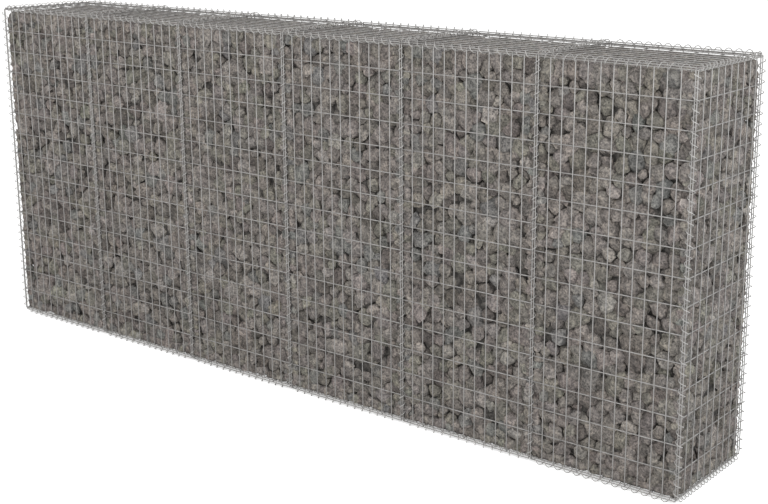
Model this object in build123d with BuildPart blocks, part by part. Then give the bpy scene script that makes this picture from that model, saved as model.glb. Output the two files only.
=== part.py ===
"""Gabion wall: six welded-mesh cages in a row, filled with stone and laced along every edge with spirals.

Millimetres. +X runs along the wall, the front faces -Y and +Z is up. The origin is on the ground, under
the middle. Each mesh panel has two layers of wires that meet at a weld plane: close line wires outside,
cross wires inside.
"""

import os
from math import atan2, ceil, copysign, cos, degrees, floor, hypot, pi, radians, sin, sqrt

from build123d import *

# Mesh
WIRE = 4.0  # side of a mesh wire, drawn square
LINE_PITCH = 50.0  # between line wires
CROSS_PITCH = 100.0  # between cross wires, nearly so in a lid
BAY_CELLS = 12  # line-wire cells along a bay
DEPTH_CELLS = 10  # line-wire cells through the wall
HEIGHT_CELLS = 15  # cross-wire cells up the wall
BAYS = 6

# How panels meet
BAY_GAP = 10.0  # between the edge wires of neighbouring cages
PANEL_CLEARANCE = 0.5  # between a panel and the one laced across its edge

# Spiral binders
SPIRAL_WIRE = 3.8  # across the corners of a spiral's wire, drawn square, as heavy as a 3 mm round one
SPIRAL_SIDES = 8  # straight lengths to a turn
SPIRAL_SEAT = 0.4  # between a spiral and the wires that it binds
EDGE_SHIFT = 1.7  # how far out of its bundle the axis of a spiral along an outer edge stands, each way
UPRIGHT_PITCH = 3 / 8 * CROSS_PITCH  # eight turns to three cells
LENGTHWISE_PITCH = 2 / 5 * CROSS_PITCH  # five turns to two cells
CROSSWISE_PITCH = 1 / 2 * LINE_PITCH  # two turns to a cell
SPIRAL_END_GAP = 1.5  # between the end of a spiral and the next piece
SPIRAL_BEARING = 0.8  # flattened off the spirals under the base, where the wall stands on them

# Stone fill
FILL_DROP = 15.0  # from the top wires down to the stone
FILL_SEAT = 0.3  # between the stone and the base mesh
FILL_CLEARANCE = 1.5  # between the stone and the spirals

# Worked out from the sizes above
bay_width = BAY_CELLS * LINE_PITCH
depth = DEPTH_CELLS * LINE_PITCH
height = HEIGHT_CELLS * CROSS_PITCH
bay_pitch = bay_width + BAY_GAP
lid_cells = round(bay_width / CROSS_PITCH)
lid_pitch = bay_width / lid_cells
lap = WIRE / 2 + PANEL_CLEARANCE + WIRE  # from an edge wire out to the weld plane laced over it
first_bay = -(BAYS - 1) / 2 * bay_pitch
bay_centres = [first_bay + bay * bay_pitch for bay in range(BAYS)]
seams = [centre + bay_pitch / 2 for centre in bay_centres[:-1]]
last_wire = bay_centres[-1] + bay_width / 2
end_weld = last_wire + lap

# The bundles of wires inside the spirals, as half sizes
seam_half = BAY_GAP / 2 + WIRE / 2  # across two neighbouring edge wires
layer_half = WIRE  # through the two layers of one panel
lapped_half = (WIRE / 2 + lap + WIRE) / 2  # from an edge wire to the outside of the panel laced over it
lapped_centre = lapped_half - WIRE / 2  # from the edge wire's middle


def spiral_radius(half_across, half_out):
    """Radius of a spiral's sides at the middle of its wire, round a bundle with these half sizes."""
    return hypot(half_across, half_out) + SPIRAL_SEAT + SPIRAL_WIRE / 2


def spiral_reach(radius):
    """How far the corners of a spiral stand from its axis."""
    return (radius + SPIRAL_WIRE / 2) / cos(pi / SPIRAL_SIDES)


seam_radius = spiral_radius(seam_half, layer_half)
over_radius = spiral_radius(seam_half, layer_half + EDGE_SHIFT)
edge_radius = spiral_radius(lapped_half + EDGE_SHIFT, layer_half + EDGE_SHIFT)
end_radius = sqrt(2) * (WIRE + EDGE_SHIFT) + SPIRAL_SEAT + SPIRAL_WIRE / 2  # bears on two wires
edge_centre = lapped_centre + EDGE_SHIFT

bottom_wire = lap + EDGE_SHIFT + over_radius + SPIRAL_WIRE / 2 - SPIRAL_BEARING  # the seam spirals stand
top_wire = bottom_wire + height
middle = (bottom_wire + top_wire) / 2


def mesh_panel(weld_plane, line_cells, cross_cells, cross_pitch):
    """A flat welded panel: line wires on the plane's outer side, along its y, and cross wires behind them."""
    with BuildPart() as panel:
        with BuildSketch(weld_plane):
            with GridLocations(LINE_PITCH, 0, line_cells + 1, 1):
                Rectangle(WIRE, cross_cells * cross_pitch + WIRE)
        extrude(amount=WIRE)
        with BuildSketch(weld_plane):
            with GridLocations(0, cross_pitch, 1, cross_cells + 1):
                Rectangle(line_cells * LINE_PITCH + WIRE, WIRE)
        extrude(amount=-WIRE)
    return panel.part


def wire_places(cells, pitch):
    """Where the wires of a row of cells stand, measured from the middle of the row."""
    return [(wire - cells / 2) * pitch for wire in range(cells + 1)]


def spiral_binder(radius, pitch, room, crossings):
    """A right-handed spiral of straight lengths up +Z, centred on the origin, as long as room allows.

    Its sides stand at the radius.
    A crossing is a row of wires that pass out between its turns: where they pass, across and out from the
    axis, and their places along it. The spiral is half way between the crossings at its middle, and it is
    bent up or down wherever it would still run into a wire, as a sprung wire is.
    """
    corner_radius = radius / cos(pi / SPIRAL_SIDES)
    step_angle = 360 / SPIRAL_SIDES
    step_rise = pitch / SPIRAL_SIDES
    steps = 2 * floor((room / step_rise - 1) / 2) + 1
    sides = [degrees(atan2(out, across)) for across, out, places in crossings]
    middle_angle = sum(sides) / len(sides)

    slope = pitch / (2 * pi * radius)
    clear = WIRE / 2 * (1 + slope) + SPIRAL_WIRE / 2 * hypot(1, 2 * slope) + SPIRAL_SEAT
    bends = [0.0] * (steps + 1)
    for side, (across, out, places) in zip(sides, crossings):
        passing = (steps / 2 + (side - middle_angle) / step_angle) % SPIRAL_SIDES
        while passing <= steps:
            rise = (passing - steps / 2) * step_rise
            offset = min((rise - place for place in places), key=abs)
            if abs(offset) < clear:
                for corner in range(max(0, ceil(passing - 1)), min(steps, floor(passing + 1)) + 1):
                    bends[corner] += copysign(clear - abs(offset), offset)
            passing += SPIRAL_SIDES

    corners = []
    for corner, bend in enumerate(bends):
        angle = radians(middle_angle + (corner - steps / 2) * step_angle)
        rise = (corner - steps / 2) * step_rise + bend
        corners.append(Vector(corner_radius * cos(angle), corner_radius * sin(angle), rise))
    start = Plane(origin=corners[0], x_dir=(0, 0, 1), z_dir=corners[1] - corners[0])
    with BuildPart() as spiral:
        with BuildLine() as path:
            Polyline(*corners)
        with BuildSketch(start):
            RegularPolygon(radius=SPIRAL_WIRE / 2, side_count=4)
        sweep(path=path.line, transition=Transition.RIGHT)
    return spiral.part


def left_handed(spiral):
    """The mirror image of a spiral. It passes the same wires, which stand evenly about the middle."""
    with BuildPart() as image:
        mirror(spiral, about=Plane.XY)
    return image.part


def keep(name, piece):
    """Labels a finished piece and writes it."""
    piece.label = name
    export_step(piece, f"parts/{name}.step", write_pcurves=False)


def keep_copies(name, copies):
    """Writes one node that holds several solids, each given with its place."""
    keep(name, Compound(children=[piece.moved(place) for piece, place in copies]))


def turned(copies, turn):
    """The same solids with their places turned over."""
    return [(piece, turn * place) for piece, place in copies]


os.makedirs("parts", exist_ok=True)

turned_about_z = Location((0, 0, 0), (0, 0, 180))
turned_about_x = Location((0, 0, 2 * middle), (180, 0, 0))
turned_about_y = Location((0, 0, 2 * middle), (0, 180, 0))

# Upright panels
front = Plane(origin=(0, -depth / 2, middle), x_dir=(1, 0, 0), z_dir=(0, -1, 0))
front_panel = mesh_panel(front, BAY_CELLS, HEIGHT_CELLS, CROSS_PITCH)
back_panel = front_panel.moved(turned_about_z)
for number, centre in enumerate(bay_centres, 1):
    keep(f"front_panel_{number}", front_panel.moved(Location((centre, 0, 0))))
    keep(f"back_panel_{number}", back_panel.moved(Location((centre, 0, 0))))

right_end = Plane(origin=(end_weld, 0, middle), x_dir=(0, 1, 0), z_dir=(1, 0, 0))
end_panel = mesh_panel(right_end, DEPTH_CELLS, HEIGHT_CELLS, CROSS_PITCH)
keep("end_panel_right", end_panel)
keep("end_panel_left", end_panel.moved(turned_about_z))

# Lids and bases
lid_plane = Plane(origin=(0, 0, top_wire + lap), x_dir=(0, 1, 0), z_dir=(0, 0, 1))
lid = mesh_panel(lid_plane, DEPTH_CELLS, lid_cells, lid_pitch)
base = lid.moved(turned_about_x)
for number, centre in enumerate(bay_centres, 1):
    keep(f"lid_{number}", lid.moved(Location((centre, 0, 0))))
    keep(f"base_{number}", base.moved(Location((centre, 0, 0))))

# Stone fill, one block to a bay, clear of every spiral and seated on the base mesh
fill_bottom = bottom_wire - lap + WIRE + FILL_SEAT
fill_top = top_wire - FILL_DROP
with BuildPart() as stone_fill:
    with BuildSketch(Plane.XY.offset(fill_bottom)):
        Rectangle(
            bay_pitch - 2 * (spiral_reach(over_radius) + FILL_CLEARANCE),
            depth - 2 * (spiral_reach(edge_radius) - EDGE_SHIFT + FILL_CLEARANCE),
        )
    extrude(amount=fill_top - fill_bottom)
for number, centre in enumerate(bay_centres, 1):
    keep(f"stone_fill_{number}", stone_fill.part.moved(Location((centre, 0, 0))))

# Upright spirals at the seams and the corners, passed by the cross wires of the upright panels
corner = last_wire + edge_centre
cross_places = wire_places(HEIGHT_CELLS, CROSS_PITCH)
to_left = (-seam_radius, WIRE / 2, cross_places)
to_right = (seam_radius, WIRE / 2, cross_places)
corner_to_left = (-edge_radius, WIRE / 2 + EDGE_SHIFT, cross_places)
corner_to_back = (lap - WIRE / 2 - edge_centre, edge_radius, cross_places)
upright_room = height - 2 * (spiral_reach(end_radius) - edge_centre + SPIRAL_WIRE / 2 + SPIRAL_END_GAP)
seam_upright = spiral_binder(seam_radius, UPRIGHT_PITCH, upright_room, [to_left, to_right])
corner_upright = spiral_binder(edge_radius, UPRIGHT_PITCH, upright_room, [corner_to_left, corner_to_back])
corner_upright_left_handed = left_handed(corner_upright)
right_corner = Location((corner, -depth / 2 - EDGE_SHIFT, middle))
left_corner = turned_about_y * right_corner
seam_uprights = [(seam_upright, Location((x, -depth / 2, middle))) for x in seams]
front_corners = [(corner_upright_left_handed, right_corner), (corner_upright, left_corner)]
back_corners = [(corner_upright, right_corner), (corner_upright_left_handed, left_corner)]
keep_copies("corner_spirals_front", seam_uprights + front_corners)
keep_copies("corner_spirals_back", turned(seam_uprights + back_corners, turned_about_z))

# Lengthwise spirals along the edges of the lids and bases, passed by upright line wires and lid cross wires
downwards = (EDGE_SHIFT - WIRE / 2, -edge_radius, wire_places(BAY_CELLS, LINE_PITCH))
inwards = (edge_radius, lap - WIRE / 2 - edge_centre, wire_places(lid_cells, lid_pitch))
lengthwise_room = bay_pitch - 2 * (spiral_reach(over_radius) + SPIRAL_WIRE / 2 + SPIRAL_END_GAP)
lengthwise = spiral_binder(edge_radius, LENGTHWISE_PITCH, lengthwise_room, [downwards, inwards])
lengthwise_left_handed = left_handed(lengthwise)
front_edges = []
for centre in bay_centres:
    middle_of_edge = (centre, -depth / 2 - EDGE_SHIFT, top_wire + edge_centre)
    front_edges.append(Plane(origin=middle_of_edge, x_dir=(0, 1, 0), z_dir=(1, 0, 0)).location)
back_edges = [turned_about_z * edge for edge in reversed(front_edges)]
for side, edges in (("front", front_edges), ("back", back_edges)):
    lid_run = [(lengthwise, edge) for edge in edges[:-1]] + [(lengthwise_left_handed, edges[-1])]
    keep_copies(f"lid_spirals_{side}", lid_run)
for side, edges in (("back", front_edges), ("front", back_edges)):
    base_run = [(lengthwise_left_handed, edge) for edge in edges[:-1]] + [(lengthwise, edges[-1])]
    keep_copies(f"base_spirals_{side}", turned(base_run, turned_about_x))

# Crosswise spirals over the seams and the two ends, passed by the line wires of the lids and the ends
depth_places = wire_places(DEPTH_CELLS, LINE_PITCH)
over_left = (-over_radius, WIRE / 2 - EDGE_SHIFT, depth_places)
over_right = (over_radius, WIRE / 2 - EDGE_SHIFT, depth_places)
end_over = (-end_radius, lap + WIRE / 2 - edge_centre, depth_places)
end_down = (lap + WIRE / 2 - edge_centre, -end_radius, depth_places)
crosswise_room = depth - 2 * (WIRE + SPIRAL_WIRE / 2 + SPIRAL_END_GAP)
seam_crosswise = spiral_binder(over_radius, CROSSWISE_PITCH, crosswise_room, [over_left, over_right])
end_crosswise = spiral_binder(end_radius, CROSSWISE_PITCH, crosswise_room, [end_over, end_down])
end_crosswise_left_handed = left_handed(end_crosswise)
seams_over = []
for x in seams:
    middle_of_seam = (x, 0, top_wire + lap + EDGE_SHIFT)
    seams_over.append(Plane(origin=middle_of_seam, x_dir=(1, 0, 0), z_dir=(0, -1, 0)).location)
right_edge = Plane(origin=(corner, 0, top_wire + edge_centre), x_dir=(1, 0, 0), z_dir=(0, -1, 0)).location
left_edge = turned_about_z * right_edge
lid_ends = [(end_crosswise_left_handed, right_edge), (end_crosswise, left_edge)]
keep_copies("lid_spirals_cross", [(seam_crosswise, seam) for seam in seams_over] + lid_ends)

# The spirals under the base seams bear on the ground along a flat on each turn
with BuildPart() as bearing_crosswise:
    add(left_handed(seam_crosswise))
    bearing = Plane.XZ.offset(-(over_radius + SPIRAL_WIRE / 2 - SPIRAL_BEARING))
    split(bisect_by=bearing, keep=Keep.TOP)
base_seams = [(bearing_crosswise.part, seam) for seam in seams_over]
base_ends = [(end_crosswise, right_edge), (end_crosswise_left_handed, left_edge)]
keep_copies("base_spirals_cross", turned(base_seams + base_ends, turned_about_x))
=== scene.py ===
"""Gabion wall: round galvanised mesh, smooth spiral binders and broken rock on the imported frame.

Metres. +X runs along the wall, the front faces -Y and +Z is up, with the ground at zero.
Every place comes from the frame's own boxes, so the pieces follow the frame if its sizes change.
"""

import logging
from dataclasses import dataclass, field, replace
from enum import Enum
from itertools import combinations
from math import radians

import bpy
import numpy as np
from numpy.typing import NDArray
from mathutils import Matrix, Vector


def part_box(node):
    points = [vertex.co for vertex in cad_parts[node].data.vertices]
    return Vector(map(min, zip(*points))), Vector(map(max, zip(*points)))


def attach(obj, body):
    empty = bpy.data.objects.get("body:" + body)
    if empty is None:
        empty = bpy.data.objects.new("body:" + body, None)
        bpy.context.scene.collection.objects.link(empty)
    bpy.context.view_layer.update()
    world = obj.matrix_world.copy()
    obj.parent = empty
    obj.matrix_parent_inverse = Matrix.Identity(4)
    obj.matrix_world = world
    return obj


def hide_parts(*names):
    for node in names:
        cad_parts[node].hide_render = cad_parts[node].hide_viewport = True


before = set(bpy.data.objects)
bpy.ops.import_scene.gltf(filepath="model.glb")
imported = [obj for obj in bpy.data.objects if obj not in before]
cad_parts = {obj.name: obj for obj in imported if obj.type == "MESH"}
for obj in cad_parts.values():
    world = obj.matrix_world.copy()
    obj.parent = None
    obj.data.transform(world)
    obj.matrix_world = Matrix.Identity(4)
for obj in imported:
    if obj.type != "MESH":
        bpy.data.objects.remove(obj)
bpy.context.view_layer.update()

LOG = logging.getLogger("gabion_wall")
MM = 0.001
BODY = "root"
BAYS = 6

Array = NDArray[np.float64]
Index = NDArray[np.int32]
Mask = NDArray[np.bool_]
Colour = tuple[float, float, float]
Stops = tuple[tuple[float, Colour], ...]
Random = np.random.Generator
Socket = bpy.types.NodeSocket


# ---- Frame and mesh helpers ----


@dataclass(frozen=True)
class NodeBox:
    """The lowest and highest corners of a frame node, in metres."""

    low: Array
    high: Array

    @classmethod
    def of(cls, node: str) -> "NodeBox":
        """Reads the box of one frame node."""
        low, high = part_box(node)
        return cls(np.array(low), np.array(high))

    @property
    def middle(self) -> Array:
        """The point half way between the corners."""
        return (self.low + self.high) / 2


@dataclass
class Surface:
    """Vertices and faces that grow as parts are added, and become one mesh object.

    Each block of faces is an array with one row to a face, so blocks may differ in their number of corners.
    """

    vertices: list[Array] = field(default_factory=list)
    faces: list[Index] = field(default_factory=list)
    finishes: list[int] = field(default_factory=list)
    count: int = 0

    def add(self, vertices: Array, *faces: Index, finish: int = 0) -> None:
        """Adds a part.

        Args:
            vertices: The part's points, one to a row.
            faces: Blocks of faces that number those points from zero.
            finish: The material slot of these faces.
        """
        self.vertices.append(vertices.reshape(-1, 3))
        for block in faces:
            self.faces.append(block + self.count)
            self.finishes.append(finish)
        self.count += len(self.vertices[-1])

    def to_object(
        self, name: str, materials: list[bpy.types.Material], sharp_angle: float | None = None
    ) -> bpy.types.Object:
        """Makes the mesh object, shaded smooth.

        Args:
            name: The object's name.
            materials: One material for each slot that the faces use.
            sharp_angle: Edges that turn by more than this, in degrees, stay sharp.

        Returns:
            The new object, linked to the scene.
        """
        points = np.concatenate(self.vertices)
        corners = np.concatenate([block.ravel() for block in self.faces])
        totals = np.concatenate([np.full(len(block), block.shape[1]) for block in self.faces])
        slots = np.concatenate([np.full(len(block), slot) for block, slot in zip(self.faces, self.finishes)])
        mesh = bpy.data.meshes.new(name)
        mesh.vertices.add(len(points))
        mesh.vertices.foreach_set("co", points.ravel())
        mesh.loops.add(len(corners))
        mesh.loops.foreach_set("vertex_index", corners)
        mesh.polygons.add(len(totals))
        mesh.polygons.foreach_set("loop_start", np.concatenate([[0], np.cumsum(totals)[:-1]]))
        mesh.polygons.foreach_set("loop_total", totals)
        for material in materials:
            mesh.materials.append(material)
        mesh.polygons.foreach_set("material_index", slots)
        mesh.polygons.foreach_set("use_smooth", np.ones(len(totals), bool))
        mesh.update(calc_edges=True)
        mesh.validate()
        if sharp_angle is not None:
            mesh.set_sharp_from_angle(angle=radians(sharp_angle))
        piece = bpy.data.objects.new(name, mesh)
        bpy.context.collection.objects.link(piece)
        return piece


def place(piece: bpy.types.Object, slot: str, *nodes: str) -> None:
    """Puts a finished piece on the frame in the place of its nodes, and reports it.

    Args:
        piece: The finished object.
        slot: The record's material slot; not used.
        nodes: The frame nodes that it stands for.
    """
    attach(piece, BODY)
    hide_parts(*nodes)
    LOG.info("%s: %d faces for %s", piece.name, len(piece.data.polygons), ", ".join(nodes))


def ring_faces(rings: int, sides: int) -> Index:
    """Quads between neighbouring rings of a tube whose points run round each ring in turn."""
    ring, side = np.meshgrid(np.arange(rings - 1), np.arange(sides), indexing="ij")
    after = (side + 1) % sides
    quads = [ring * sides + side, ring * sides + after, (ring + 1) * sides + after, (ring + 1) * sides + side]
    return np.stack(quads, -1).reshape(-1, 4).astype(np.int32)


def cap_faces(rings: int, sides: int) -> Index:
    """The two end faces of such a tube, both facing outwards."""
    first = np.arange(sides)[::-1]
    last = np.arange(sides) + (rings - 1) * sides
    return np.stack([first, last]).astype(np.int32)


def repeat_faces(faces: Index, copies: int, stride: int) -> Index:
    """The faces of a part numbered for so many copies, each with stride points."""
    offsets = np.arange(copies, dtype=np.int32)[:, None, None] * stride
    return (faces[None] + offsets).reshape(-1, faces.shape[1])


# ---- Finishes ----


class NodeTree:
    """A material's node tree, with short calls for adding and joining nodes."""

    def __init__(self, name: str) -> None:
        """Starts a material that holds only its Principled shader and its output."""
        self.material = bpy.data.materials.new(name)
        self.material.use_nodes = True
        self.tree = self.material.node_tree
        self.shader = self.tree.nodes["Principled BSDF"]

    def node(self, kind: str, **settings: object) -> bpy.types.Node:
        """Adds a node.

        Args:
            kind: The node's type, without its "ShaderNode" prefix.
            settings: Properties by name, or inputs by name with spaces written as underscores.

        Returns:
            The new node.
        """
        made = self.tree.nodes.new(f"ShaderNode{kind}")
        for key, value in settings.items():
            if hasattr(made, key):
                setattr(made, key, value)
            else:
                made.inputs[key.replace("_", " ")].default_value = value
        return made

    def join(self, source: Socket, target: Socket) -> None:
        """Links one socket to another."""
        self.tree.links.new(source, target)

    def noise(self, vector: Socket, scale: float, detail: float, rough: float) -> Socket:
        """Adds noise over the given coordinates and returns its value."""
        texture = self.node("TexNoise", Scale=scale, Detail=detail, Roughness=rough)
        self.join(vector, texture.inputs["Vector"])
        return texture.outputs["Fac"]

    def ramp(self, value: Socket, stops: Stops) -> Socket:
        """Turns a value into a colour through evenly blended stops of (place, colour)."""
        ramp = self.node("ValToRGB")
        elements = ramp.color_ramp.elements
        for element, (position, colour) in zip(elements, (stops[0], stops[-1])):
            element.position = position
            element.color = (*colour, 1)
        for position, colour in stops[1:-1]:
            elements.new(position).color = (*colour, 1)
        self.join(value, ramp.inputs["Fac"])
        return ramp.outputs["Color"]

    def product(self, first: Socket, second: Socket) -> Socket:
        """Multiplies two colours and returns the result."""
        made = self.node("Mix", data_type="RGBA", blend_type="MULTIPLY", Factor=1.0)
        self.join(first, made.inputs[6])
        self.join(second, made.inputs[7])
        return made.outputs[2]

    def bump(self, *layers: tuple[Socket, float, float]) -> None:
        """Adds bumps to the shader from layers of (height, strength, distance in metres), coarse first."""
        below = None
        for height, strength, distance in layers:
            made = self.node("Bump", Strength=strength, Distance=distance)
            self.join(height, made.inputs["Height"])
            if below is not None:
                self.join(below, made.inputs["Normal"])
            below = made.outputs["Normal"]
        self.join(below, self.shader.inputs["Normal"])


@dataclass(frozen=True)
class GalvanisedWire:
    """Zinc-coated wire: pale warm grey, dull, with faint cloudy patches."""

    name: str
    tone: Colour
    metallic: float = 0.35
    roughness: float = 0.48
    cloud_scale: float = 55.0
    grain_scale: float = 900.0
    dullest: float = 0.72
    brightest: float = 1.14

    def material(self) -> bpy.types.Material:
        """Builds the finish."""
        tree = NodeTree(self.name)
        where = tree.node("TexCoord").outputs["Object"]
        clouds = tree.noise(where, self.cloud_scale, 4.0, 0.6)
        dull = tuple(self.dullest * value for value in self.tone)
        bright = tuple(min(1.0, self.brightest * value) for value in self.tone)
        colour = tree.ramp(clouds, ((0.3, dull), (0.5, self.tone), (0.72, bright)))
        tree.join(colour, tree.shader.inputs["Base Color"])
        grain = tree.noise(where, self.grain_scale, 2.0, 0.5)
        tree.bump((grain, 0.25, 0.0002))
        tree.shader.inputs["Metallic"].default_value = self.metallic
        tree.shader.inputs["Roughness"].default_value = self.roughness
        return tree.material


@dataclass(frozen=True)
class BrokenRock:
    """Quarried stone: each one has its own tone, with blotches, grain and a rough broken face."""

    name: str = "broken_rock"
    attribute: str = "stone_tone"
    blotch_scale: float = 48.0
    pit_scale: float = 130.0
    grain_scale: float = 420.0
    blotch_tones: Stops = ((0.36, (0.66, 0.66, 0.66)), (0.5, (1, 1, 1)), (0.64, (1.36, 1.34, 1.3)))
    pit_tones: Stops = ((0.37, (0.5, 0.5, 0.5)), (0.47, (0.94, 0.94, 0.94)), (0.61, (1.36, 1.35, 1.32)))
    grain_tones: Stops = ((0.35, (0.82, 0.82, 0.82)), (0.5, (1, 1, 1)), (0.65, (1.2, 1.19, 1.17)))
    roughness: float = 0.92

    def material(self) -> bpy.types.Material:
        """Builds the finish."""
        tree = NodeTree(self.name)
        where = tree.node("TexCoord").outputs["Object"]
        tone = tree.node("Attribute", attribute_name=self.attribute).outputs["Color"]
        blotches = tree.noise(where, self.blotch_scale, 4.0, 0.6)
        pits = tree.noise(where, self.pit_scale, 4.0, 0.65)
        grain = tree.noise(where, self.grain_scale, 3.0, 0.6)
        colour = tree.product(tone, tree.ramp(blotches, self.blotch_tones))
        colour = tree.product(colour, tree.ramp(pits, self.pit_tones))
        colour = tree.product(colour, tree.ramp(grain, self.grain_tones))
        tree.join(colour, tree.shader.inputs["Base Color"])
        tree.bump((blotches, 0.8, 0.008), (pits, 0.9, 0.005), (grain, 0.6, 0.0016))
        tree.shader.inputs["Roughness"].default_value = self.roughness
        tree.shader.inputs["Specular IOR Level"].default_value = 0.2
        return tree.material


@dataclass(frozen=True)
class PaintedShadeCore:
    """The stone too far in to be seen singly: a dark rough mass, painted dark as the shadow deep inside the
    wall.
    """

    name: str = "painted_shade_core"
    # Painted shade: the core's dark colour, darker still where the lumps are low, stands for the shadow
    # inside the wall.
    tone: Colour = (0.10, 0.092, 0.084)
    darkest: float = 0.25
    lump_scale: float = 42.0
    roughness: float = 0.95

    def material(self) -> bpy.types.Material:
        """Builds the finish."""
        tree = NodeTree(self.name)
        where = tree.node("TexCoord").outputs["Object"]
        lumps = tree.noise(where, self.lump_scale, 4.0, 0.6)
        darker = tuple(self.darkest * value for value in self.tone)
        tree.join(tree.ramp(lumps, ((0.42, darker), (0.6, self.tone))), tree.shader.inputs["Base Color"])
        tree.bump((lumps, 1.0, 0.02))
        tree.shader.inputs["Roughness"].default_value = self.roughness
        return tree.material


# ---- Welded mesh ----


class Facing(Enum):
    """Which way a panel faces: the axes of its line wires, cross wires and thickness, and a sign."""

    FRONT = (2, 0, 1, -1)
    BACK = (2, 0, 1, 1)
    LEFT = (2, 1, 0, -1)
    RIGHT = (2, 1, 0, 1)
    UP = (0, 1, 2, 1)
    DOWN = (0, 1, 2, -1)


@dataclass
class MeshPanel:
    """One welded panel: close line wires outside and cross wires inside, sunk together at the welds.

    The wires' ends and the beads of weld metal are given as shares of the wire.
    """

    node: str
    name: str
    facing: Facing
    wire: float = 4.0 * MM
    line_pitch: float = 50.0 * MM
    cross_pitch: float = 100.0 * MM
    weld_sink: float = 0.3 * MM
    sides: int = 8
    end_width: float = 0.75
    end_length: float = 0.3
    bead_radius: float = 0.75
    bead_height: float = 0.42

    def rods(self, centres: Array, axis: int, low: float, high: float) -> tuple[Array, Index, Index]:
        """Straight round wires along one axis, with slightly rounded ends.

        Each wire is a grid of rings: ring k stands at the k-th place along the axis with the k-th radius,
        and the points of a ring stand at equal angles.

        Args:
            centres: A point on the middle line of each wire.
            axis: The axis that the wires run along.
            low: Where the wires start.
            high: Where they end.

        Returns:
            The points, the side faces and the end faces.
        """
        radius = self.wire / 2
        taper = self.end_length * radius
        along = np.array([low, low + taper, high - taper, high])
        radii = radius * np.array([self.end_width, 1, 1, self.end_width])
        angle = (np.arange(self.sides) + 0.5) * 2 * np.pi / self.sides
        u, v = (axis + 1) % 3, (axis + 2) % 3
        rings = len(along)
        points = np.repeat(centres[:, None, None, :], rings, 1).repeat(self.sides, 2)
        points[..., axis] = along[None, :, None]
        points[..., u] += radii[None, :, None] * np.cos(angle)
        points[..., v] += radii[None, :, None] * np.sin(angle)
        stride = rings * self.sides
        sides = repeat_faces(ring_faces(rings, self.sides), len(centres), stride)
        caps = repeat_faces(cap_faces(rings, self.sides), len(centres), stride)
        return points, sides, caps

    def welds(self, centres: Array, thickness: int) -> tuple[Array, Index]:
        """Flat beads of weld metal, each a six-sided double cone round its crossing.

        Args:
            centres: The middle of each bead.
            thickness: The axis across the panel.

        Returns:
            The points and the faces.
        """
        angle = np.arange(6) * np.pi / 3
        bead = np.zeros((8, 3))
        bead[:6, (thickness + 1) % 3] = self.bead_radius * self.wire * np.cos(angle)
        bead[:6, (thickness + 2) % 3] = self.bead_radius * self.wire * np.sin(angle)
        bead[6:, thickness] = self.bead_height * self.wire, -self.bead_height * self.wire
        near = np.arange(6)
        after = (near + 1) % 6
        up = np.stack([near, after, np.full(6, 6)], -1)
        down = np.stack([after, near, np.full(6, 7)], -1)
        faces = np.concatenate([up, down]).astype(np.int32)
        return centres[:, None, :] + bead, repeat_faces(faces, len(centres), 8)

    def build(self, material: bpy.types.Material) -> None:
        """Builds the panel in its node's box and puts it on the frame."""
        along, across, thick, sign = self.facing.value
        box = NodeBox.of(self.node)
        half = self.wire / 2
        offset = sign * (half - self.weld_sink)
        lines = round((box.high[across] - box.low[across] - self.wire) / self.line_pitch) + 1
        crosses = round((box.high[along] - box.low[along] - self.wire) / self.cross_pitch) + 1
        line_places = np.linspace(box.low[across] + half, box.high[across] - half, lines)
        cross_places = np.linspace(box.low[along] + half, box.high[along] - half, crosses)

        line_centres = np.tile(box.middle, (lines, 1))
        line_centres[:, across] = line_places
        line_centres[:, thick] += offset
        cross_centres = np.tile(box.middle, (crosses, 1))
        cross_centres[:, along] = cross_places
        cross_centres[:, thick] -= offset
        weld_centres = np.tile(box.middle, (lines * crosses, 1))
        weld_centres[:, across] = np.repeat(line_places, crosses)
        weld_centres[:, along] = np.tile(cross_places, lines)

        surface = Surface()
        surface.add(*self.rods(line_centres, along, box.low[along], box.high[along]))
        surface.add(*self.rods(cross_centres, across, box.low[across], box.high[across]))
        surface.add(*self.welds(weld_centres, thick))
        place(surface.to_object(self.name, [material], sharp_angle=50.0), "mesh_wire", self.node)


# ---- Spiral binders ----


@dataclass(frozen=True)
class Seat:
    """Where a spiral stands: the middle of its axis and its own x, y and z directions as columns."""

    origin: Array
    directions: Array

    def turned(self, turn: Array, about: Array) -> "Seat":
        """The same seat after a turn about a point."""
        return Seat(turn @ (self.origin - about) + about, turn @ self.directions)


class Hand(Enum):
    """Which way a spiral winds as it goes up its axis."""

    RIGHT = 1
    LEFT = -1


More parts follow.
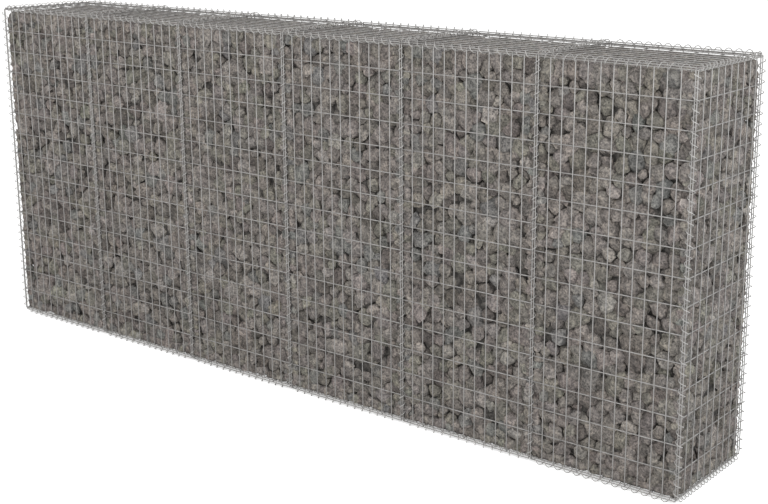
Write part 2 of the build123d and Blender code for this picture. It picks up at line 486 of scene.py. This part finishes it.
@dataclass(frozen=True)
class Spiral:
    """A round wire wound evenly on a cylinder, with closed ends."""

    radius: float
    pitch: float
    length: float
    middle_angle: float
    wire: float
    hand: Hand = Hand.RIGHT
    steps_to_turn: int = 16
    sides: int = 6

    def mirrored(self) -> "Spiral":
        """The same spiral wound the other way."""
        return replace(self, hand=Hand(-self.hand.value))

    def points(self) -> Array:
        """The wire's surface on a grid.

        The middle line is radius * (cos a, sin a), where the angle a grows by a turn for each pitch of z, and
        each ring lies in the plane of the outward direction and the binormal there. A left-handed spiral is
        the mirror image in z, with its rings the other way round.

        Returns:
            The points, with one row of rings for each step along the wire.
        """
        turns = self.length / self.pitch
        steps = round(turns * self.steps_to_turn)
        share = np.linspace(-0.5, 0.5, steps + 1)
        angle = radians(self.middle_angle) + share * turns * 2 * np.pi
        zero = np.zeros_like(angle)
        outward = np.stack([np.cos(angle), np.sin(angle), zero], -1)
        line = self.radius * outward
        line[:, 2] = share * self.length
        rise = self.pitch / (2 * np.pi)
        forward = np.stack([-line[:, 1], line[:, 0], zero + rise], -1)
        forward /= np.linalg.norm(forward, axis=1, keepdims=True)
        binormal = np.cross(forward, outward)
        around = np.arange(self.sides) * 2 * np.pi / self.sides * self.hand.value
        ring = np.cos(around)[:, None] * outward[:, None] + np.sin(around)[:, None] * binormal[:, None]
        return (line[:, None] + self.wire / 2 * ring) * (1, 1, self.hand.value)

    def add_to(self, surface: Surface, seats: list[Seat]) -> None:
        """Adds a copy of the spiral at each seat."""
        grid = self.points()
        rings = len(grid)
        sides = ring_faces(rings, self.sides)
        caps = cap_faces(rings, self.sides)
        for seat in seats:
            surface.add(grid.reshape(-1, 3) @ seat.directions.T + seat.origin, sides, caps)


@dataclass(frozen=True)
class Lane:
    """The round space that a spiral takes along one axis, which the stones keep out of."""

    axis: int
    point: Array
    radius: float


@dataclass
class SpiralBinders:
    """All the spirals that lace the panels together, along every edge and seam.

    Those along the outer edges are wider, and their axes stand out from the wires that they bind. The ones at
    the right end, and the ones under the wall, wind the other way from the rest. Angles say where the middle
    of a spiral's wire stands round its axis, so that the turns pass between the crossing wires.
    """

    upright_pitch: float = 37.5 * MM
    lengthwise_pitch: float = 40.0 * MM
    crosswise_pitch: float = 25.0 * MM
    wire: float = 3.2 * MM
    seam_radius: float = 10.2 * MM
    over_radius: float = 11.2 * MM
    edge_radius: float = 12.0 * MM
    end_radius: float = 10.3 * MM
    shift: float = 1.7 * MM
    seam_angle: float = 90.0
    corner_angle: float = 129.9
    lengthwise_angle: float = -49.1
    end_angle: float = 45.0
    seam_lane: float = 0.7
    edge_lane: float = 0.5

    def __post_init__(self) -> None:
        """Reads the seams, edges and corner lines off the frame."""
        front = [NodeBox.of(f"front_panel_{bay}") for bay in range(1, BAYS + 1)]
        end = NodeBox.of("end_panel_right")
        lid = NodeBox.of("lid_1")
        panel = front[-1]
        self.centre = np.array([0.0, 0.0, panel.middle[2]])
        self.bays = [box.middle[0] for box in front]
        self.seams = [(a.high[0] + b.low[0]) / 2 for a, b in zip(front, front[1:])]
        layer = (panel.high[1] - panel.low[1]) / 2
        self.front = panel.middle[1]
        self.corner = (panel.high[0] - layer + end.high[0]) / 2 + self.shift
        self.edge = (panel.high[2] - layer + lid.high[2]) / 2 + self.shift
        self.over = lid.middle[2] + self.shift

    def lanes(self) -> list[Lane]:
        """The space round every spiral that no stone enters, as a share of the spiral's radius.

        The stones reach in between the turns, further at the outer edges than at the seams.
        """
        front, edge, centre = self.front, self.edge, self.centre[2]
        lanes = []
        for side in (1, -1):
            over = centre + side * (self.over - centre)
            for x in self.seams:
                lanes.append(Lane(2, np.array([x, side * front, 0.0]), self.seam_lane * self.seam_radius))
                lanes.append(Lane(1, np.array([x, 0.0, over]), self.seam_lane * self.over_radius))
            for end in (-1, 1):
                x, y = end * self.corner, side * (front - self.shift)
                outer = np.array([x, y, centre + end * (edge - centre)])
                upper = np.array([x, 0.0, centre + side * (edge - centre)])
                lanes.append(Lane(2, outer, self.edge_lane * self.edge_radius))
                lanes.append(Lane(0, outer, self.edge_lane * self.edge_radius))
                lanes.append(Lane(1, upper, self.edge_lane * self.end_radius))
        return lanes

    def lace(self, name: str, runs: list[tuple[Spiral, list[Seat]]], material: bpy.types.Material) -> None:
        """Makes one piece of several runs of spirals, in the place of the node of the same name."""
        surface = Surface()
        for spiral, seats in runs:
            spiral.add_to(surface, seats)
        place(surface.to_object(f"{name}_wire", [material], sharp_angle=60.0), "spiral_wire", name)

    def build(self, material: bpy.types.Material) -> None:
        """Builds every run and puts it on the frame."""
        self.build_uprights(material)
        self.build_lengthwise(material)
        self.build_crosswise(material)

    def turned(self, seats: list[Seat], axis: int) -> list[Seat]:
        """The seats after half a turn about an axis through the middle of the wall."""
        turn = np.diag(np.where(np.arange(3) == axis, 1.0, -1.0))
        return [seat.turned(turn, self.centre) for seat in seats]

    def build_uprights(self, material: bpy.types.Material) -> None:
        """Spirals up the seams and corners, front and back."""
        box = NodeBox.of("corner_spirals_front")
        length = box.high[2] - box.low[2] - self.wire
        seam = Spiral(self.seam_radius, self.upright_pitch, length, self.seam_angle, self.wire)
        corner = Spiral(self.edge_radius, self.upright_pitch, length, self.corner_angle, self.wire)
        upright = np.eye(3)
        seams = [Seat(np.array([x, self.front, self.centre[2]]), upright) for x in self.seams]
        right = [Seat(np.array([self.corner, self.front - self.shift, self.centre[2]]), upright)]
        left = self.turned(right, 1)
        front = [(seam, seams), (corner.mirrored(), right), (corner, left)]
        self.lace("corner_spirals_front", front, material)
        behind = [(seam, seams), (corner, right), (corner.mirrored(), left)]
        behind = [(spiral, self.turned(seats, 2)) for spiral, seats in behind]
        self.lace("corner_spirals_back", behind, material)

    def build_lengthwise(self, material: bpy.types.Material) -> None:
        """Spirals along the long edges of the lids and bases."""
        run = NodeBox.of("lid_spirals_front")
        length = run.high[0] - run.low[0] - (self.bays[-1] - self.bays[0]) - self.wire
        spiral = Spiral(self.edge_radius, self.lengthwise_pitch, length, self.lengthwise_angle, self.wire)
        directions = np.array([[0.0, 0.0, 1.0], [1.0, 0.0, 0.0], [0.0, 1.0, 0.0]])
        front = [Seat(np.array([x, self.front - self.shift, self.edge]), directions) for x in self.bays]
        back = self.turned(front, 2)[::-1]
        for side, seats in (("front", front), ("back", back)):
            runs = [(spiral, seats[:-1]), (spiral.mirrored(), seats[-1:])]
            self.lace(f"lid_spirals_{side}", runs, material)
        for side, seats in (("back", front), ("front", back)):
            under = self.turned(seats, 0)
            runs = [(spiral.mirrored(), under[:-1]), (spiral, under[-1:])]
            self.lace(f"base_spirals_{side}", runs, material)

    def build_crosswise(self, material: bpy.types.Material) -> None:
        """Spirals over the seams and ends of the lids and bases."""
        box = NodeBox.of("lid_spirals_cross")
        length = box.high[1] - box.low[1] - self.wire
        seam = Spiral(self.over_radius, self.crosswise_pitch, length, self.seam_angle, self.wire)
        end = Spiral(self.end_radius, self.crosswise_pitch, length, self.end_angle, self.wire)
        directions = np.array([[1.0, 0.0, 0.0], [0.0, 0.0, -1.0], [0.0, 1.0, 0.0]])
        seams = [Seat(np.array([x, 0.0, self.over]), directions) for x in self.seams]
        right = [Seat(np.array([self.corner, 0.0, self.edge]), directions)]
        left = self.turned(right, 2)
        self.lace("lid_spirals_cross", [(seam, seams), (end.mirrored(), right), (end, left)], material)
        under = [(seam.mirrored(), seams), (end, right), (end.mirrored(), left)]
        under = [(spiral, self.turned(seats, 0)) for spiral, seats in under]
        self.lace("base_spirals_cross", under, material)


# ---- Stone fill ----


def icosphere(level: int) -> tuple[Array, Index]:
    """A unit sphere of equal triangles: an icosahedron whose triangles are each cut in four, level times.

    The icosahedron's corners are those of three golden rectangles, each across the next, and its faces are
    the threes of corners that all lie an edge apart.
    """
    golden = (1 + 5**0.5) / 2
    rectangle = np.array([[-1, golden, 0], [1, golden, 0], [-1, -golden, 0], [1, -golden, 0]])
    points = np.concatenate([np.roll(rectangle, turn, axis=1) for turn in range(3)])
    points /= np.linalg.norm(points[0])
    near = np.linalg.norm(points[:, None] - points, axis=-1) < 1.1
    threes = [corners for corners in combinations(range(12), 3) if near[np.ix_(corners, corners)].all()]
    faces = np.array(threes, np.int32)
    for _ in range(level):
        edges = np.sort(np.concatenate([faces[:, [0, 1]], faces[:, [1, 2]], faces[:, [2, 0]]]), axis=1)
        pairs, which = np.unique(edges, axis=0, return_inverse=True)
        ab, bc, ca = (which.reshape(3, -1) + len(points)).astype(np.int32)
        a, b, c = faces.T
        parts = ((a, ab, ca), (ab, b, bc), (ca, bc, c), (ab, bc, ca))
        faces = np.concatenate([np.stack(part, -1) for part in parts])
        middles = points[pairs].mean(1)
        points = np.concatenate([points, middles / np.linalg.norm(middles, axis=1, keepdims=True)])
    corners = points[faces]
    normals = np.cross(corners[:, 1] - corners[:, 0], corners[:, 2] - corners[:, 0])
    inward = (normals * corners.mean(1)).sum(-1) < 0
    faces[inward] = faces[inward][:, ::-1]
    return points, faces


@dataclass(frozen=True)
class StoneTone:
    """One family of stone colours and its share of the fill."""

    share: float
    colour: Colour
    spread: float


@dataclass(frozen=True)
class FillRegion:
    """The space that one bay's stones may take, and which of its sides show."""

    low: Array
    high: Array
    shown: tuple[tuple[int, int], ...]

    def depth_in(self, points: Array) -> Array:
        """How far each point lies behind the nearest side that shows."""
        depths = [
            points[:, axis] - self.low[axis] if side < 0 else self.high[axis] - points[:, axis]
            for axis, side in self.shown
        ]
        return np.min(depths, axis=0)


@dataclass
class StoneFill:
    """The broken rock of one bay: single stones packed against the sides that show, round a core painted dark
    as the shade inside the wall.

    Stones of many sizes stand at scattered points that have pushed each other apart. Each stone is the space
    that lies nearer to its own point than to its neighbours', sizes allowed for, cut by a few broken faces.

    Shares, sizes and reaches are of the usual size for the sizes and the packing, and of each stone's own
    size for the rest. Pairs are the least and the most.

    Attributes:
        packing: Points tried for each stone's worth of space.
        shell: How deep behind the sides that show the stones go.
        core_depth: How far the dark core's sides stand in.
        push: Share of an overlap that is taken up in a round of settling.
        pull: Share of its distance from the middle that a sunken stone moves out in a round.
        wall_inset: Nearest that a stone's point comes to a side.
        loose_fit: How far a stone with gaps round it fills its space.
        tight_fit: The same for the others, which run into each other.
        edge_reach: A stone lies at an edge when two sides are nearer than this.
        edge_relief: How much of the tilt and recess is left there.
        edge_chip: How much further out its chips are.
        tilt: How far the faces towards a side lean.
        recess: Furthest that a stone stands behind a side.
        least_reach: Nearest that a face towards a side comes to the stone's point.
        roughness: How far a point of the surface moves in or out.
    """

    bay: int
    lanes: list[Lane]
    seed: int = 4100
    spacing: float = 56.0 * MM
    size_spread: float = 0.27
    size_limits: tuple[float, float] = (0.66, 1.5)
    packing: float = 1.72
    shell: float = 48.0 * MM
    core_depth: float = 29.0 * MM
    edge_spacing: float = 28.0 * MM
    edge_sizes: tuple[float, float] = (1.05, 1.35)
    edge_inset: float = 0.34
    settle_steps: int = 16
    push: float = 0.3
    pull: float = 0.04
    wall_inset: float = 0.36
    neighbours: int = 15
    loose_share: float = 0.17
    loose_fit: tuple[float, float] = (0.78, 0.95)
    tight_fit: tuple[float, float] = (1.16, 1.4)
    edge_reach: float = 0.62
    edge_relief: float = 0.25
    tilt: float = 0.32
    recess: float = 8.0 * MM
    least_reach: float = 0.3
    chips: int = 4
    chip_reach: tuple[float, float] = (0.42, 0.62)
    edge_chip: float = 0.3
    longest: float = 0.85
    roughness: tuple[float, float] = (0.95, 1.03)
    mesh_clearance: float = 1.0 * MM
    top_drop: float = 8.0 * MM
    tones: tuple[StoneTone, ...] = (
        StoneTone(0.54, (0.180, 0.163, 0.153), 0.11),
        StoneTone(0.20, (0.174, 0.163, 0.145), 0.10),
        StoneTone(0.10, (0.163, 0.160, 0.155), 0.10),
        StoneTone(0.09, (0.222, 0.205, 0.193), 0.10),
        StoneTone(0.07, (0.124, 0.111, 0.103), 0.12),
    )
    tint: float = 0.012
    # Painted shade: the dark colour that the core's points carry, as the shadow inside the wall.
    core_painted_shade: float = 0.1

    def region(self) -> FillRegion:
        """The space inside this bay's panels, up to the middle of each seam and a little under the lid."""
        front = NodeBox.of(f"front_panel_{self.bay}")
        back = NodeBox.of(f"back_panel_{self.bay}")
        base = NodeBox.of(f"base_{self.bay}")
        low = np.array([front.low[0], front.high[1], base.high[2]]) + self.mesh_clearance
        high = np.array([front.high[0], back.low[1], front.high[2]]) - self.mesh_clearance
        high[2] -= self.top_drop
        shown = [(1, -1), (1, 1), (2, 1)]
        to_seam = (NodeBox.of("front_panel_2").low[0] - NodeBox.of("front_panel_1").high[0]) / 2
        to_seam += self.mesh_clearance
        if self.bay == 1:
            shown.append((0, -1))
        else:
            low[0] -= to_seam
        if self.bay == BAYS:
            shown.append((0, 1))
        else:
            high[0] += to_seam
        return FillRegion(low, high, tuple(shown))

    def scatter(self, region: FillRegion, random: Random) -> tuple[Array, Array]:
        """Points and sizes for the stones, near the sides that show and settled to an even fit.

        Each step pushes every pair that stands nearer than the mean of its two sizes apart along the line
        between them, and brings back what has left the shell.
        """
        volume = np.prod(region.high - region.low)
        tries = round(self.packing * volume / self.spacing**3)
        points = random.uniform(region.low, region.high, (tries, 3))
        points = points[region.depth_in(points) < self.shell]
        shares = np.exp(random.normal(0, self.size_spread, len(points)))
        sizes = self.spacing * np.clip(shares, *self.size_limits)
        along, along_sizes = self.edge_stones(region, random)
        points = np.concatenate([points, along])
        sizes = np.concatenate([sizes, along_sizes])
        inset = self.wall_inset * sizes[:, None]
        reach = (sizes[:, None] + sizes) / 2
        for _ in range(self.settle_steps):
            apart = points[:, None] - points
            gap = np.linalg.norm(apart, axis=-1)
            np.fill_diagonal(gap, 1.0)
            push = np.clip(reach - gap, 0, None) / gap
            np.fill_diagonal(push, 0.0)
            points = points + self.push * (apart * push[..., None]).sum(1)
            points = np.clip(points, region.low + inset, region.high - inset)
            sunk = region.depth_in(points) > self.shell
            points[sunk] += self.pull * (points[sunk] - (region.low + region.high) / 2)
        return points, sizes

    def edge_stones(self, region: FillRegion, random: Random) -> tuple[Array, Array]:
        """Points and sizes for the smaller stones that fill the upright and lower edges of the bay."""
        inset = self.edge_inset * self.edge_spacing
        low, high = region.low + inset, region.high - inset
        uprights = [(2, (x, y)) for x in (0, 1) for y in (0, 1)]
        lower = [(axis, (end, 0)) for axis in (0, 1) for end in (0, 1)]
        rows = []
        for axis, ends in uprights + lower:
            count = int((high[axis] - low[axis]) / self.edge_spacing)
            steps = np.arange(count) + random.uniform(0.25, 0.75, count)
            row = np.empty((count, 3))
            row[:, axis] = low[axis] + steps * self.edge_spacing
            others = [other for other in range(3) if other != axis]
            for other, end in zip(others, ends):
                row[:, other] = high[other] if end else low[other]
            rows.append(row)
        points = np.concatenate(rows)
        return points, self.edge_spacing * random.uniform(*self.edge_sizes, len(points))

    def walls(self, region: FillRegion, points: Array, sizes: Array, random: Random) -> tuple[Array, Array]:
        """The flat faces that bound each stone.

        Args:
            region: The space that the stones may take.
            points: The stones' middles.
            sizes: Their sizes across.
            random: The source of chance.

        Returns:
            The faces' normals and their distances from the stone's point, one row to a stone.
        """
        to_sides = np.concatenate([points - region.low, region.high - points], 1)
        at_edge = (to_sides < self.edge_reach * sizes[:, None]).sum(1) > 1
        normals, distances = zip(
            self.neighbour_walls(points, sizes, at_edge, random),
            *self.side_walls(to_sides, sizes, at_edge, random),
            self.chip_walls(sizes, at_edge, random),
        )
        return np.concatenate(normals, 1), np.concatenate(distances, 1)

    def neighbour_walls(
        self, points: Array, sizes: Array, at_edge: Mask, random: Random
    ) -> tuple[Array, Array]:
        """Faces between neighbours, which share the way between their points by their sizes."""
        count = len(points)
        apart = points[None] - points[:, None]
        gap = np.linalg.norm(apart, axis=-1)
        np.fill_diagonal(gap, np.inf)
        near = np.argpartition(gap, self.neighbours, axis=1)[:, : self.neighbours]
        rows = np.arange(count)[:, None]
        between = gap[rows, near]
        share = sizes[:, None] / (sizes[:, None] + sizes[near])
        loose = (random.random(count) < self.loose_share) & ~at_edge
        fit = np.where(loose, random.uniform(*self.loose_fit, count), random.uniform(*self.tight_fit, count))
        return apart[rows, near] / between[..., None], between * share * fit[:, None]

    def side_walls(
        self, to_sides: Array, sizes: Array, at_edge: Mask, random: Random
    ) -> list[tuple[Array, Array]]:
        """Three tilted faces towards each side of the region, which meet in a blunt point at or behind it."""
        count = len(sizes)
        relief = np.where(at_edge, self.edge_relief, 1.0)
        walls = []
        for axis in range(3):
            for side, to_side in ((-1, to_sides[:, axis]), (1, to_sides[:, axis + 3])):
                normal = random.normal(0, self.tilt, (count, 3, 3)) * relief[:, None, None]
                normal[..., axis] = side
                normal /= np.linalg.norm(normal, axis=2, keepdims=True)
                behind = random.uniform(0, self.recess, count) * relief
                reach = np.maximum(to_side - behind, self.least_reach * sizes)
                walls.append((normal, reach[:, None] * np.abs(normal[..., axis])))
        return walls

    def chip_walls(self, sizes: Array, at_edge: Mask, random: Random) -> tuple[Array, Array]:
        """Broken faces in random directions."""
        chip = random.normal(size=(len(sizes), self.chips, 3))
        normals = chip / np.linalg.norm(chip, axis=2, keepdims=True)
        reach = random.uniform(*self.chip_reach, (len(sizes), self.chips)) + self.edge_chip * at_edge[:, None]
        return normals, sizes[:, None] * reach

    def rocks(
        self, points: Array, sizes: Array, walls: tuple[Array, Array], random: Random
    ) -> tuple[Array, Index]:
        """Stones as cut spheres: in each direction the surface lies at the nearest of the stone's faces.

        A face lies at its distance over the cosine between its normal and the direction. Faces that the
        direction hardly meets are left out.

        Args:
            points: The stones' middles.
            sizes: Their sizes across.
            walls: The normals and distances of each stone's faces.
            random: The source of chance.

        Returns:
            The points, one row of them to a stone, and the faces.
        """
        sphere, faces = icosphere(1)
        count = len(points)
        axes = np.linalg.qr(random.normal(size=(count, 3, 3)))[0]
        axes *= np.linalg.det(axes)[:, None, None]
        rays = np.einsum("vj,sij->svi", sphere, axes)
        normals, distances = walls
        facing = np.einsum("svi,ski->svk", rays, normals)
        least = 0.12
        reach = np.where(facing > least, distances[:, None] / np.maximum(facing, least), np.inf).min(-1)
        reach = np.minimum(reach, self.longest * sizes[:, None])
        reach = reach * random.uniform(*self.roughness, reach.shape)
        return points[:, None] + rays * reach[..., None], repeat_faces(faces, count, len(sphere))

    def keep_inside(self, region: FillRegion, surface: Array) -> Array:
        """Moves what has left the region back to its sides, and what meets a spiral straight out of it."""
        surface = np.clip(surface, region.low, region.high)
        for lane in self.lanes:
            away = surface - lane.point
            away[..., lane.axis] = 0
            distance = np.linalg.norm(away, axis=-1, keepdims=True)
            surface += away * np.clip(lane.radius / np.maximum(distance, 1e-6) - 1, 0, None)
        return surface

    def stone_tones(self, count: int, random: Random) -> Array:
        """A colour for each stone: a family by its share, lighter or darker by its spread."""
        shares = np.array([tone.share for tone in self.tones])
        family = random.choice(len(self.tones), count, p=shares / shares.sum())
        colours = np.array([tone.colour for tone in self.tones])[family]
        spreads = np.array([tone.spread for tone in self.tones])[family]
        brightness = np.exp(random.normal(0, 1, count) * spreads)
        tint = 1 + random.normal(0, self.tint, (count, 3))
        return np.clip(colours * brightness[:, None] * tint, 0.02, 0.8)

    def core(self, region: FillRegion) -> tuple[Array, Index]:
        """The mass behind the stones, painted dark as shade: a box whose sides stand in from the ones that
        show.
        """
        low, high = region.low.copy(), region.high.copy()
        for axis, side in region.shown:
            if side < 0:
                low[axis] += self.core_depth
            else:
                high[axis] -= self.core_depth
        corner = np.array([[x, y, z] for z in (0, 1) for y in (0, 1) for x in (0, 1)])
        faces = [[0, 2, 3, 1], [4, 5, 7, 6], [0, 1, 5, 4], [2, 6, 7, 3], [0, 4, 6, 2], [1, 3, 7, 5]]
        return low + corner * (high - low), np.array(faces, np.int32)

    def build(self, rock: bpy.types.Material, core: bpy.types.Material) -> None:
        """Builds the bay's stones and core, and puts them on the frame."""
        random = np.random.default_rng(self.seed + self.bay)
        region = self.region()
        points, sizes = self.scatter(region, random)
        walls = self.walls(region, points, sizes, random)
        surface = Surface()
        stones, faces = self.rocks(points, sizes, walls, random)
        surface.add(self.keep_inside(region, stones), faces)
        core_points, core_faces = self.core(region)
        surface.add(core_points, core_faces, finish=1)
        piece = surface.to_object(f"stones_{self.bay}", [rock, core], sharp_angle=44.0)

        tones = np.repeat(self.stone_tones(len(stones), random), stones.shape[1], axis=0)
        colours = np.ones((surface.count, 4))
        # The core's points carry the painted shade colour, and the stones' points carry their own tones.
        colours[:, :3] = self.core_painted_shade
        colours[: len(tones), :3] = tones
        attribute = piece.data.color_attributes.new(
            name=BrokenRock.attribute, type="FLOAT_COLOR", domain="POINT"
        )
        attribute.data.foreach_set("color", colours.ravel())
        place(piece, "stone_fill", f"stone_fill_{self.bay}")
        LOG.info("bay %d: %d stones", self.bay, len(points))


# ---- Setting ----


@dataclass(frozen=True)
class Lamp:
    """A soft square lamp: where it hangs, its side, power and colour. It faces the wall's middle."""

    name: str
    location: tuple[float, float, float]
    size: float
    power: float
    colour: Colour

    def build(self, target: Array) -> None:
        """Adds the lamp."""
        light = bpy.data.lights.new(self.name, "AREA")
        light.size = self.size
        light.energy = self.power
        light.color = self.colour
        lamp = bpy.data.objects.new(self.name, light)
        bpy.context.collection.objects.link(lamp)
        lamp.location = self.location
        direction = Vector(target) - lamp.location
        lamp.rotation_euler = direction.to_track_quat("-Z", "Y").to_euler()


def seen_directly(nodes: bpy.types.Nodes, links: bpy.types.NodeLinks) -> Socket:
    """One where a surface is seen by the camera, mirrored or seen through, and zero where it only lights."""
    path = nodes.new("ShaderNodeLightPath")
    seen = path.outputs["Is Camera Ray"]
    for ray in ("Is Glossy Ray", "Is Transmission Ray"):
        either = nodes.new("ShaderNodeMath")
        either.operation = "MAXIMUM"
        links.new(seen, either.inputs[0])
        links.new(path.outputs[ray], either.inputs[1])
        seen = either.outputs[0]
    return seen


@dataclass(frozen=True)
class Setting:
    """The white floor and surroundings, the lamps and the camera."""

    floor_size: float = 60.0
    floor_tone: float = 0.9
    floor_glow: float = 0.5
    surroundings: float = 0.72
    camera_location: tuple[float, float, float] = (3.7513, -4.1817, 2.0776)
    camera_angles: tuple[float, float, float] = (76.045, -0.112, 37.203)
    camera_lens: float = 62.75
    camera_sensor: float = 36.0
    camera_shift: tuple[float, float] = (-0.0656, -0.0367)
    camera_reach: float = 200.0
    lamps: tuple[Lamp, ...] = (
        Lamp("soft_lamp_right", (6.5, -3.0, 5.5), 5.0, 470.0, (0.96, 0.99, 1.0)),
        Lamp("soft_lamp_front", (-3.0, -7.0, 4.5), 5.0, 225.0, (1.0, 0.985, 0.97)),
    )

    def build(self) -> None:
        """Adds everything round the wall."""
        self.build_floor()
        self.build_world()
        self.build_camera()
        target = NodeBox.of("stone_fill_3").middle
        for lamp in self.lamps:
            lamp.build(target)

    def build_floor(self) -> None:
        """A level floor, white to the eye but for the wall's own soft shadow."""
        half = self.floor_size / 2
        corners = np.array([[-half, -half, 0], [half, -half, 0], [half, half, 0], [-half, half, 0]])
        surface = Surface()
        surface.add(corners, np.array([[0, 1, 2, 3]], np.int32))
        tree = NodeTree("white_floor")
        tree.shader.inputs["Base Color"].default_value = (self.floor_tone,) * 3 + (1.0,)
        tree.shader.inputs["Roughness"].default_value = 0.95
        tree.shader.inputs["Specular IOR Level"].default_value = 0.1
        tree.shader.inputs["Emission Color"].default_value = (1.0, 1.0, 1.0, 1.0)
        glow = tree.node("Math", operation="MULTIPLY")
        glow.inputs[1].default_value = self.floor_glow
        tree.join(seen_directly(tree.tree.nodes, tree.tree.links), glow.inputs[0])
        tree.join(glow.outputs[0], tree.shader.inputs["Emission Strength"])
        surface.to_object("floor", [tree.material])

    def build_world(self) -> None:
        """White surroundings: full white where seen directly or mirrored, a little dimmer as light."""
        world = bpy.data.worlds.new("surroundings")
        bpy.context.scene.world = world
        world.use_nodes = True
        nodes, links = world.node_tree.nodes, world.node_tree.links
        nodes.clear()
        lit = nodes.new("ShaderNodeBackground")
        lit.inputs["Strength"].default_value = self.surroundings
        seen = nodes.new("ShaderNodeBackground")
        seen.inputs["Strength"].default_value = 1.0
        for node in (lit, seen):
            node.inputs["Color"].default_value = (1, 1, 1, 1)
        mix = nodes.new("ShaderNodeMixShader")
        output = nodes.new("ShaderNodeOutputWorld")
        links.new(seen_directly(nodes, links), mix.inputs["Fac"])
        links.new(lit.outputs[0], mix.inputs[1])
        links.new(seen.outputs[0], mix.inputs[2])
        links.new(mix.outputs[0], output.inputs["Surface"])

    def build_camera(self) -> None:
        """The camera, from the front right and a little above the wall."""
        lens = bpy.data.cameras.new("camera")
        lens.sensor_width = self.camera_sensor
        lens.lens = self.camera_lens
        lens.shift_x, lens.shift_y = self.camera_shift
        lens.clip_end = self.camera_reach
        camera = bpy.data.objects.new("camera", lens)
        bpy.context.collection.objects.link(camera)
        camera.location = self.camera_location
        camera.rotation_euler = [radians(angle) for angle in self.camera_angles]
        bpy.context.scene.camera = camera
        bpy.context.scene.view_settings.view_transform = "Standard"


# ---- The whole wall ----


def main() -> None:
    """Builds the wall piece by piece, then its setting."""
    logging.basicConfig(level=logging.INFO, format="%(message)s")
    mesh_finish = GalvanisedWire("galvanised_mesh", (0.293, 0.283, 0.275)).material()
    spiral_finish = GalvanisedWire("galvanised_spirals", (0.34, 0.33, 0.32), 0.4, 0.42).material()
    rock_finish = BrokenRock().material()
    # The core's finish is painted shade: a dark mass for the shadow inside the wall.
    painted_shade_finish = PaintedShadeCore().material()

    for bay in range(1, BAYS + 1):
        MeshPanel(f"front_panel_{bay}", f"front_mesh_{bay}", Facing.FRONT).build(mesh_finish)
        MeshPanel(f"back_panel_{bay}", f"back_mesh_{bay}", Facing.BACK).build(mesh_finish)
        MeshPanel(f"lid_{bay}", f"lid_mesh_{bay}", Facing.UP).build(mesh_finish)
        MeshPanel(f"base_{bay}", f"base_mesh_{bay}", Facing.DOWN).build(mesh_finish)
    MeshPanel("end_panel_left", "end_mesh_left", Facing.LEFT).build(mesh_finish)
    MeshPanel("end_panel_right", "end_mesh_right", Facing.RIGHT).build(mesh_finish)
    binders = SpiralBinders()
    binders.build(spiral_finish)
    for bay in range(1, BAYS + 1):
        StoneFill(bay, binders.lanes()).build(rock_finish, painted_shade_finish)

    Setting().build()


if __name__ == "__main__":
    main()
